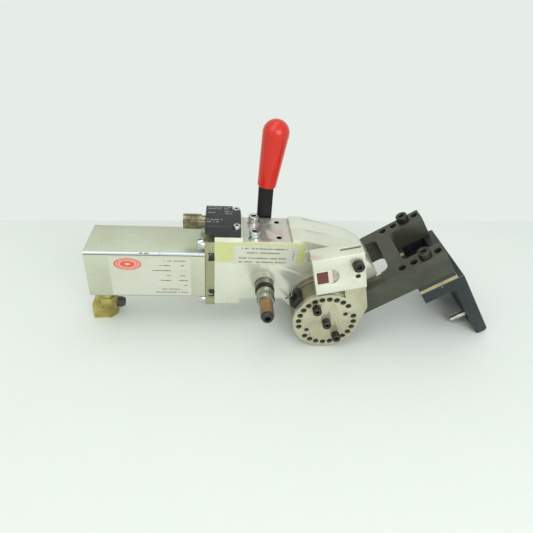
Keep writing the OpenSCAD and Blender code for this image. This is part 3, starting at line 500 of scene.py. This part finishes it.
# Dark line for the seam along the tube, and painted shade on the floor of the groove in the block.
DARK_SEAM_AND_SHADE = material(
    "dark_seam_and_shade", srgb(62, 60, 46), srgb(96, 90, 66), rough=0.5, metal=0.3, patch=200, patch_mix=0.8, bump=0)
RUST = material(
    "rust_line", srgb(150, 96, 74), srgb(190, 150, 128), rough=0.5, metal=0.2, patch=240, patch_mix=0.8,
    bump=0)
CHIP = material(
    "olive_chip", srgb(138, 128, 44), srgb(86, 76, 26), rough=0.45, metal=0.2, patch=500, patch_mix=0.8,
    bump=0.2)
PINK = material(
    "pink_line", srgb(226, 134, 124), srgb(236, 190, 180), rough=0.4, spread=0.05, patch=300, patch_mix=0.6,
    bump=0)

# Label on the tube: rounded film, an oval of plain rings and rows of bars
lo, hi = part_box("cylinder_label")
w, h = (hi.x - lo.x) / MM, (hi.z - lo.z) / MM
film = Face((lo.x, hi.y, lo.z), (1, 0, 0), (0, 0, 1))
bm = bmesh.new()
prism(bm, film, rounded(w, h, 1.6), 0.0, 0.16)
label = put("tube_label_film", bm, [M["label_film"]], "housing")
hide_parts("cylinder_label")
bm = bmesh.new()
for outer, inner in ((1.0, 0.86), (0.78, 0.66), (0.56, 0.18)):
    band(bm, film, (0.224 * w, 0.815 * h), 10.6 * outer, 5.5 * outer, inner / outer, 0.15, 0.19, 0)
dashes(bm, film, w, h, [(0.90, [(0.63, 0.935)]), (0.78, [(0.615, 0.74), (0.86, 0.935)]),
                        (0.65, [(0.52, 0.74), (0.85, 0.935)]), (0.52, [(0.70, 0.75), (0.86, 0.935)]),
                        (0.39, [(0.60, 0.76), (0.85, 0.945)]), (0.26, [(0.89, 0.945)]),
                        (0.155, [(0.63, 0.85)]), (0.07, [(0.54, 0.955)])], 0.95, 0.15, 0.19, 1)
put("tube_label_print", bm, [RED_INK, PRINT], "housing")

# Label on the head, slightly askew over the yellow film
lo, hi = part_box("head_label")
w, h = (hi.x - lo.x) / MM - 0.3, (hi.z - lo.z) / MM - 0.6
askew = math.radians(-0.6)
note = Face((lo.x + 0.0002, hi.y, lo.z + 0.0006), (math.cos(askew), 0, math.sin(askew)), (0, 0, 1))
bm = bmesh.new()
prism(bm, note, rounded(w, h, 0.9), 0.0, 0.2)
label = put("head_label_film", bm, [M["label_film"]], "housing")
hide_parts("head_label")
bm = bmesh.new()
dashes(bm, note, w, h, [(0.80, [(0.13, 0.83)]), (0.57, [(0.20, 0.73)]), (0.28, [(0.09, 0.85)]),
                        (0.07, [(0.09, 0.83)])], 1.15, 0.19, 0.23, 0)
dashes(bm, note, w, h, [(0.25, [(0.935, 0.95)]), (0.4, [(0.935, 0.95)]), (0.55, [(0.935, 0.95)]),
                        (0.7, [(0.935, 0.95)])], 1.5, 0.19, 0.23, 0)
for u, v in ((0.33, 0.56), (0.60, 0.07), (0.68, 0.09), (0.27, 0.28)):
    prism(bm, note, rounded(3.0, 1.4, 0.6, u * w, v * h), 0.18, 0.215, 1)
put("head_label_print", bm, [PRINT, YELLOW_STAIN], "housing")

# Print on the sensor
lo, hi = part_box("sensor_body")
w, h = (hi.x - lo.x) / MM, (hi.y - lo.y) / MM
top = Face((lo.x, lo.y, hi.z), (1, 0, 0), (0, 1, 0))
bm = bmesh.new()
dashes(bm, top, w, h, [(0.92, [(0.06, 0.70)]), (0.83, [(0.07, 0.66)]), (0.64, [(0.07, 0.27)]),
                       (0.70, [(0.53, 0.74)]), (0.60, [(0.53, 0.74)]), (0.30, [(0.05, 0.56)]),
                       (0.20, [(0.05, 0.34)])], 1.5, -0.02, 0.02, 0)
put("sensor_print", bm, [PRINT_LIGHT], "housing")

# Round connector: thread, rim and contacts
lo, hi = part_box("sensor_connector")
cy, cz = (lo.y + hi.y) / 2, (lo.z + hi.z) / 2
bm = bmesh.new()
profile = [(0.0, 5.5), (0.1, 5.95), (1.5, 5.95), (1.6, 5.6)]
x = 1.9
while x < 11.6:
    profile += [(x, 5.65), (x + 0.38, 6.12), (x + 0.62, 6.12), (x + 1.0, 5.65)]
    x += 1.0
profile += [(12.2, 5.6), (12.6, 5.93), (13.9, 5.93)]
lathe(bm, profile, (lo.x - 0.00002, cy, cz), (1, 0, 0), (0, 1, 0))
put("connector_thread", bm, [M["connector_nickel"]], "housing", smooth=30)
bm = bmesh.new()
lathe(bm, [(2.0, 0.05), (2.0, 4.35), (2.45, 4.4)], (lo.x, cy, cz), (1, 0, 0), (0, 1, 0))
for k in range(4):
    a = math.radians(45 + 90 * k)
    lathe(bm, [(0.6, 0.05), (0.7, 0.42), (2.1, 0.5)],
          (lo.x, cy + 0.0024 * math.cos(a), cz + 0.0024 * math.sin(a)), (1, 0, 0), (0, 1, 0), 16, 1)
put("connector_contacts", bm, [M["black_plastic"], M["fitting_brass"]], "housing")

# Dark line and chipped patch along the front edge of the tube
lo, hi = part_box("cylinder_tube")
front = Face((lo.x, lo.y, lo.z), (1, 0, 0), (0, 0, 1))
length, height = (hi.x - lo.x) / MM, (hi.z - lo.z) / MM
bm = bmesh.new()
prism(bm, front, bar(0.6, height - 2.3, length - 0.4, height - TUBE_EDGE), -0.02, 0.03)
put("tube_edge_line", bm, [DARK_SEAM_AND_SHADE], "housing")
edge_face = Face((lo.x, lo.y, hi.z - 0.00098), (1, 0, 0), (0, 1, 1))
bm = bmesh.new()
for u0, wide in ((42.0, 3.4), (45.6, 4.6), (57.4, 1.3)):
    pts = []
    for i in range(14):
        t = 2 * math.pi * i / 14
        g = rng.uniform(0.7, 1.1)
        pts.append((u0 + wide / 2 + wide / 2 * g * math.cos(t), 0.72 + 0.62 * g * math.sin(t)))
    prism(bm, edge_face, pts, -0.4, 0.03)
put("tube_edge_chips", bm, [CHIP], "housing")

# Joint line between the pad and the head
lo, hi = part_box("mount_pad")
bm = bmesh.new()
joint = Face((hi.x, lo.y, hi.z), (0, 1, 0), (-1, 0, 0))
prism(bm, joint, bar(0.2, -0.16, 39.0, 0.2), -0.05, 0.03)
put("pad_joint_line", bm, [RUST], "housing")

# Indicator window: crowned lens, pale strip with a pink line
BLOCK_TILT = 13.3
pivot = Vector(JOINTS["arm_swing"]["pos_m"])
bu, bv = tilted(BLOCK_TILT)
block_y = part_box("indicator_block")[0].y
window = Face((pivot.x, block_y, pivot.z), bu, bv)
bm = bmesh.new()
steps = 14
rows = []
for j in range(9):
    dome = -1.3 + 1.15 * math.sin(math.pi * (0.12 + 0.76 * j / 8)) ** 0.8
    rows.append([bm.verts.new(window.point(-2.95 + 8.3 * i / steps,
                                           41.45 + (10.7 - 1.5 * (2 * i / steps - 1) ** 2) * j / 8, dome))
                 for i in range(steps + 1)])
for j in range(8):
    for i in range(steps):
        bm.faces.new((rows[j][i], rows[j][i + 1], rows[j + 1][i + 1], rows[j + 1][i]))
rim = rows[0] + [r[-1] for r in rows[1:]] + rows[-1][-2::-1] + [r[0] for r in rows[-2:0:-1]]
low = [bm.verts.new(v.co - window.n * 0.0019) for v in rim]
for i in range(len(rim)):
    j = (i + 1) % len(rim)
    bm.faces.new((low[i], low[j], rim[j], rim[i]))
bm.faces.new(low[::-1])
lens = put("indicator_lens_dome", bm, [M["lens_red"]], "swing_arm", 60)
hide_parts("indicator_lens")
bm = bmesh.new()
prism(bm, window, rounded(2.6, 12.2, 0.3, 6.2, 40.7), -1.2, -0.25, 0)
for k in range(7):
    prism(bm, window, bar(7.2, 41.6 + 1.5 * k, 7.9, 42.6 + 1.5 * k), -0.26, -0.22, 1)
put("indicator_strip", bm, [M["insert_cream"], PINK], "swing_arm")


def bottoms(name, spots, y, body):
    """Shallow near-black caps that paint the shade at the bottoms of holes, at (x, z, radius in millimetres),
    facing the front.
    """
    bm = bmesh.new()
    for x, z, r in spots:
        lathe(bm, [(0.0, r), (0.25, r), (0.3, 0.05)], (x, y, z), (0, -1, 0), (1, 0, 0), 24)
    put(name, bm, [PAINTED_SHADE], body)


# Painted shade in the index holes of the disc, and in the small hole and the groove in the block
disc_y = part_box("index_disc")[0].y
ring = [(22.4, 15 * k + 0.5, 2.3) for k in range(24) if k not in (2, 14)]
ring += [(16.6, 27.5, 1.9), (17.6, 212, 1.9)]
bottoms("ring_hole_painted_shade", [(pivot.x + q * MM * math.cos(math.radians(a)),
                               pivot.z + q * MM * math.sin(math.radians(a)), r) for q, a, r in ring],
        disc_y + 0.0017, "swing_arm")
spot = pivot + (bu * 27.5 + bv * 43.1) * MM
bottoms("block_hole_painted_shade", [(spot.x, spot.z, 1.9)], block_y + 0.0012, "swing_arm")
# A dark strip on the floor of the block's groove paints its shade.
roof = Face((pivot.x, 0, pivot.z), bu, (0, 1, 0))
bm = bmesh.new()
prism(bm, roof, bar(17.1, -42.7, 32.5, -39.7), 61.55, 61.75)
put("block_groove_painted_shade", bm, [DARK_SEAM_AND_SHADE], "swing_arm")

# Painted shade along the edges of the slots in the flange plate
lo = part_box("flange_plate")[0]
bm = bmesh.new()
side = Face((lo.x, lo.y, 0), (1, 0, 0), (0, 0, 1))
for z0 in (-18.3, -53.9):
    for u0, v0, u1, v1 in ((2.6, 6.4, 7.4, 7.5), (3.4, 3.2, 7.0, 4.2), (2.6, 0.0, 7.4, 1.3),
                           (6.3, 1.2, 7.4, 6.6)):
        prism(bm, side, bar(u0, z0 + v0, u1, z0 + v1), -0.05, 0.04)
put("flange_slot_painted_shade", bm, [PAINTED_SHADE], "housing")

# Polished ring round the screw of the stop dog
lo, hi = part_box("dog_screw")
DOG_TILT, DOG_SCREW_OUT = 149.5, 31.2
axis = tilted(DOG_TILT)[0]
head = Vector((pivot.x, (lo.y + hi.y) / 2, pivot.z)) + axis * DOG_SCREW_OUT * MM
bm = bmesh.new()
lathe(bm, [(3.02, 1.35), (3.06, 1.5), (3.06, 2.4), (2.9, 2.55), (2.4, 2.6)], head, axis, (0, 1, 0), 32)
put("dog_screw_rim", bm, [M["zinc_steel"]], "swing_arm")

# Brass pin end in the flank of the angle bracket, and a near-black lining of painted shade with two bright lines
# in the well
ARM_TILT = 34.7
au, av = tilted(ARM_TILT)
flank = Face((pivot.x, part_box("tip_bracket")[0].y, pivot.z), au, av)
bm = bmesh.new()
lathe(bm, [(-0.3, 0.62), (0.03, 0.58), (0.08, 0.4), (0.1, 0.02)], flank.point(93.1, -31.6, 0), flank.n,
      au, 20)
put("bracket_pin_end", bm, [M["shim_brass"]], "swing_arm")
wall = Face((pivot.x, 0.022, pivot.z), au, av)
bm = bmesh.new()
prism(bm, wall, bar(79.9, -29.8, 100.8, -22.0), 0.02, 0.3)
for u0 in (85.8, 96.4):
    prism(bm, wall, bar(u0, -29.7, u0 + 0.55, -22.2), 0.28, 0.55, 1)
floor = Face((pivot.x, 0, pivot.z), au, (0, 1, 0))
prism(bm, floor, bar(79.9, -21.8, 100.8, 21.6), -29.87, -29.6)
put("well_lining_painted_shade", bm, [PAINTED_SHADE, M["bright_steel"]], "swing_arm")


# ---------------------------------------------------------------- stage, light, camera

YAW, TILT, ROLL = math.radians(6.49), math.radians(34.77), math.radians(4.64)
EYE = Vector((-0.0432, -0.3199, 0.1871))
LENS, SENSOR = 30.93, 36
forward = Vector((math.sin(YAW) * math.cos(TILT), math.cos(YAW) * math.cos(TILT), -math.sin(TILT)))
right = Vector((math.cos(YAW), -math.sin(YAW), 0))
up = right.cross(forward)
cam_x = right * math.cos(ROLL) + up * math.sin(ROLL)
cam_y = up * math.cos(ROLL) - right * math.sin(ROLL)
camera = bpy.data.objects.new("camera", bpy.data.cameras.new("camera"))
camera.matrix_world = Matrix((
    (cam_x.x, cam_y.x, -forward.x, EYE.x),
    (cam_x.y, cam_y.y, -forward.y, EYE.y),
    (cam_x.z, cam_y.z, -forward.z, EYE.z),
    (0, 0, 0, 1)))
camera.data.lens = LENS
camera.data.sensor_width = SENSOR
camera.data.clip_start = 0.01
bpy.context.scene.collection.objects.link(camera)
bpy.context.scene.camera = camera

# The table passes under the elbow and under the foot of the bracket.
FOOT_IN, TABLE_GAP = 0.0082, 0.0002
TABLE_SIDE, TABLE_FRONT, TABLE_BACK = 2.2, -1.6, 0.168
elbow_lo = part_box("elbow_fitting")[0]
foot_lo, foot_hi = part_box("tip_bracket")
foot_x = foot_hi.x - FOOT_IN
slope = (foot_lo.z - elbow_lo.z) / (foot_x - elbow_lo.x)


def table_z(x):
    """Height of the tilted table, a hair under the parts that stand on it."""
    return elbow_lo.z + slope * (x - elbow_lo.x) - TABLE_GAP


def stage_surface():
    """Plain table that ends behind the object, so that nothing hides the object from the back."""
    bm = bmesh.new()
    corners = [(-TABLE_SIDE, TABLE_FRONT), (TABLE_SIDE, TABLE_FRONT), (TABLE_SIDE, TABLE_BACK),
               (-TABLE_SIDE, TABLE_BACK)]
    bm.faces.new([bm.verts.new((x, y, table_z(x))) for x, y in corners])
    me = bpy.data.meshes.new("stage_floor")
    bm.to_mesh(me)
    bm.free()
    o = bpy.data.objects.new("stage_floor", me)
    me.materials.append(material(
        "table_white", srgb(213, 216, 213), srgb(208, 212, 208), rough=0.55, spread=0.02, patch=3,
        patch_mix=0.6, grain_size=60, grain_mix=0.01, bump=0, specular=0.3))
    bpy.context.scene.collection.objects.link(o)


stage_surface()


def area_light(name, where, aim, size, power, colour):
    """A soft rectangular light at a place, turned towards its aim; power in watts."""
    light = bpy.data.lights.new(name, "AREA")
    light.shape = "RECTANGLE"
    light.size, light.size_y = size
    light.energy = power
    light.color = colour
    o = bpy.data.objects.new(name, light)
    o.location = where
    o.rotation_euler = (Vector(aim) - Vector(where)).to_track_quat("-Z", "Y").to_euler()
    bpy.context.scene.collection.objects.link(o)


area_light("key", (-0.62, -0.5, 0.95), (-0.05, 0, -0.05), (0.8, 0.8), 3.3, (1, 0.99, 0.97))
area_light("fill", (0.35, -1.0, 0.5), (0, 0, -0.05), (0.9, 0.7), 7.5, (0.98, 1, 0.99))
area_light("back", (-0.1, 0.05, 0.95), (0, 0, 0), (1.0, 0.4), 1.5, (0.98, 1, 0.99))
world = bpy.data.worlds.new("studio")
world.use_nodes = True
sky = world.node_tree.nodes["Background"]
sky.inputs["Color"].default_value = srgb(230, 237, 231)
sky.inputs["Strength"].default_value = 1.0
bpy.context.scene.world = world
bpy.context.scene.view_settings.view_transform = "Standard"
